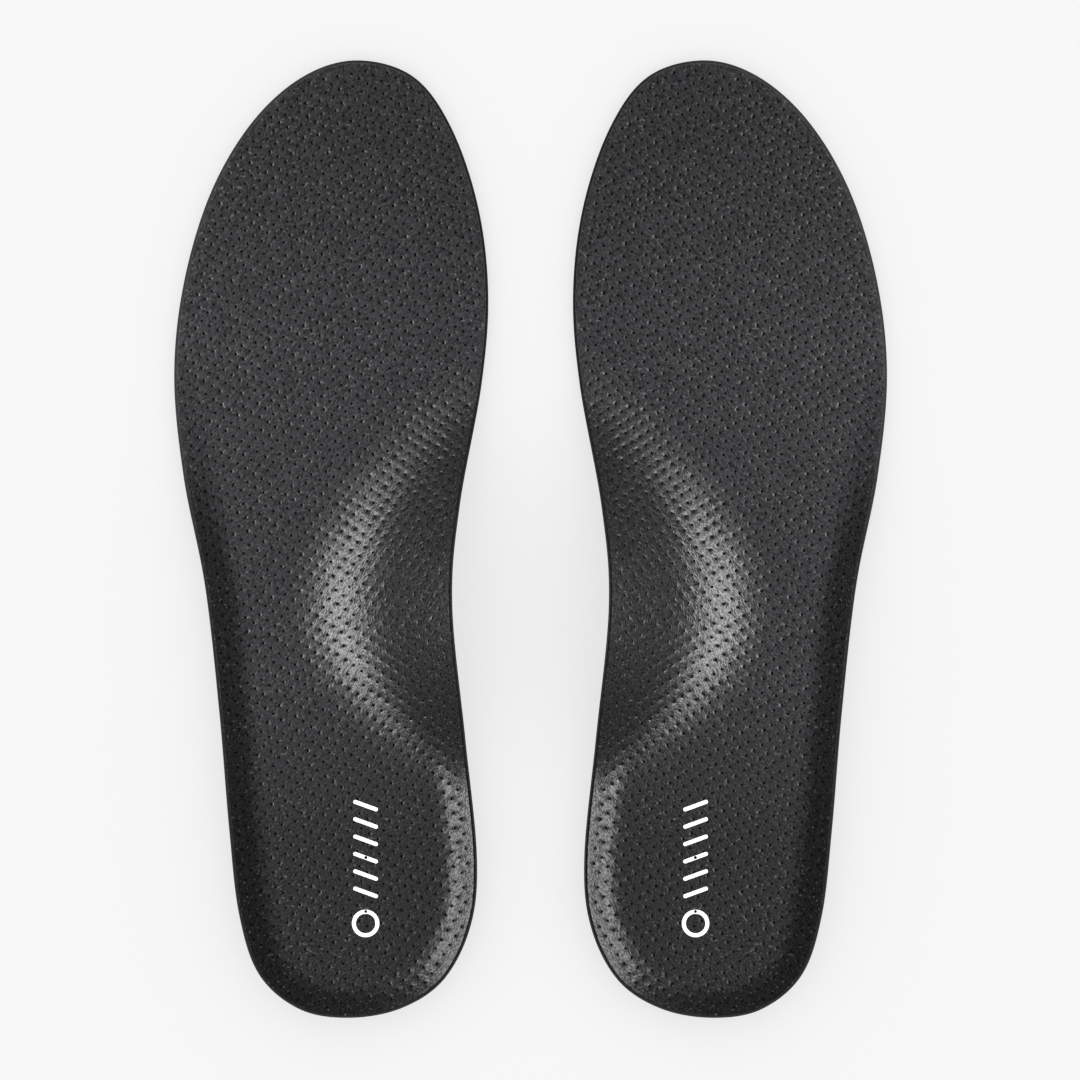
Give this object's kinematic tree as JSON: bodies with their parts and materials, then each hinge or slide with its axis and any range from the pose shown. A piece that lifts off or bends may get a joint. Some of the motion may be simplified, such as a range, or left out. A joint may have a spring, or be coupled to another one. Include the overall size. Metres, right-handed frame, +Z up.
{
  "type": "cushioned insole",
  "caption": "Pair of full-length cushioned arch-support insoles with perforated fabric covers, heel cups and a forefoot that flexes.",
  "frame": {"origin": "on the surface that the insoles lie on, half way between the two insoles and half way along their length", "axes": "+Z up, +Y from the heels to the toes, +X from the left insole to the right one"},
  "size_m": [0.1974, 0.265, 0.0269],
  "materials": {
    "cover_fabric": "black perforated knitted fabric with a soft satin shine",
    "comfort_foam": "matte open-cell foam",
    "base_foam": "moulded foam with a smooth skin",
    "support_foam": "firm fine-cell foam",
    "gel": "satin soft gel",
    "print_ink": "matte white heat-transfer print"
  },
  "bodies": {
    "left_rear": {"left_top_cover_rear": "cover_fabric", "left_comfort_foam_rear": "comfort_foam", "left_base_rear": "base_foam", "left_arch_support": "support_foam", "left_heel_pad": "gel", "left_heel_print": "print_ink"},
    "left_toe": {"left_top_cover_front": "cover_fabric", "left_comfort_foam_front": "comfort_foam", "left_base_front": "base_foam", "left_forefoot_pad": "gel"},
    "right_rear": {"right_top_cover_rear": "cover_fabric", "right_comfort_foam_rear": "comfort_foam", "right_base_rear": "base_foam", "right_arch_support": "support_foam", "right_heel_pad": "gel", "right_heel_print": "print_ink"},
    "right_toe": {"right_top_cover_front": "cover_fabric", "right_comfort_foam_front": "comfort_foam", "right_base_front": "base_foam", "right_forefoot_pad": "gel"}
  },
  "joints": [
    {"name": "left_flex", "type": "hinge", "parent": "left_rear", "child": "left_toe", "pos_m": [-0.055, 0.052, 0.0048], "axis": [1, 0, 0], "range_deg": [0, 45], "stiffness_Nm_per_rad": 0.02},
    {"name": "right_flex", "type": "hinge", "parent": "right_rear", "child": "right_toe", "pos_m": [0.055, 0.052, 0.0048], "axis": [1, 0, 0], "range_deg": [0, 45], "stiffness_Nm_per_rad": 0.02},
    {"name": "right_lift", "type": "slide", "parent": "left_rear", "child": "right_rear", "axis": [0, 0, 1], "range_m": [0, 0.06]}
  ]
}
